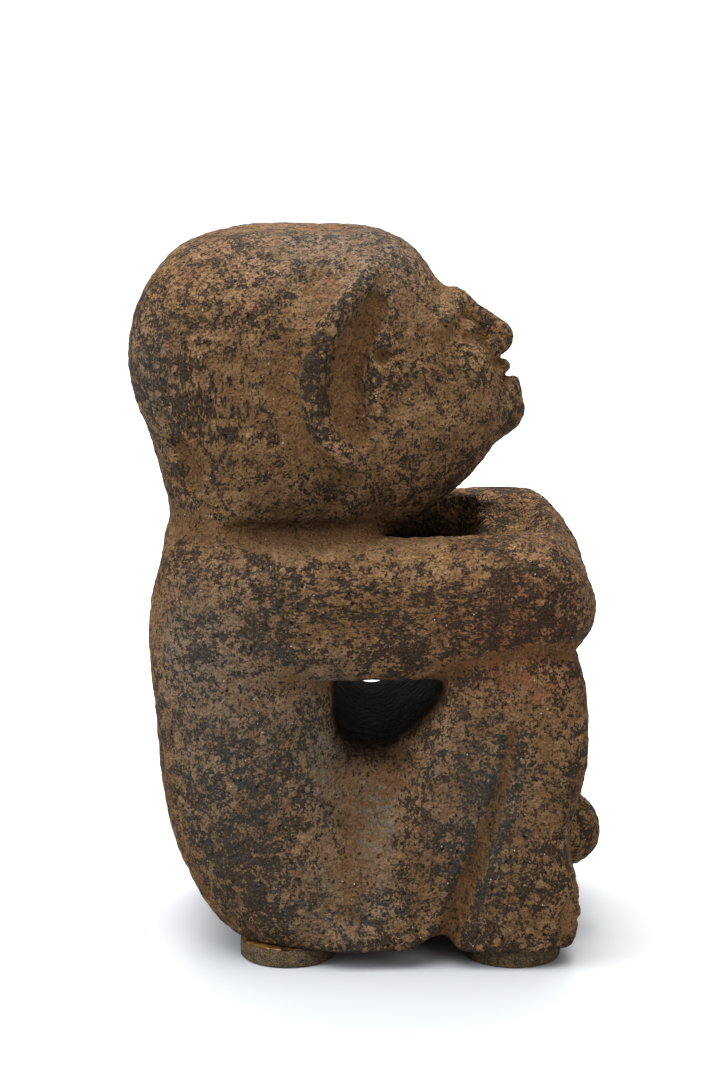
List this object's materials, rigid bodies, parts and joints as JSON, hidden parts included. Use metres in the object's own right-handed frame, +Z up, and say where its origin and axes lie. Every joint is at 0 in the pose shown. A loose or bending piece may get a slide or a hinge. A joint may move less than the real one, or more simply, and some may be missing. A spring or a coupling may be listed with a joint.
{
  "type": "seated stone figure",
  "caption": "Carved stone figure seated with its arms folded on drawn-up knees and its head tilted up, on round felt pads.",
  "frame": {"origin": "on the floor under the middle of the part's bounding box", "axes": "+Z up, the figure faces -Y, and its left side is +X"},
  "size_m": [0.1, 0.1273, 0.1901],
  "materials": {
    "stone": "matte",
    "felt": "matte"
  },
  "bodies": {
    "root": {"stone_figure": "stone", "felt_pad_rear_right": "felt", "felt_pad_rear_left": "felt", "felt_pad_front_right": "felt", "felt_pad_front_left": "felt"}
  },
  "joints": []
}
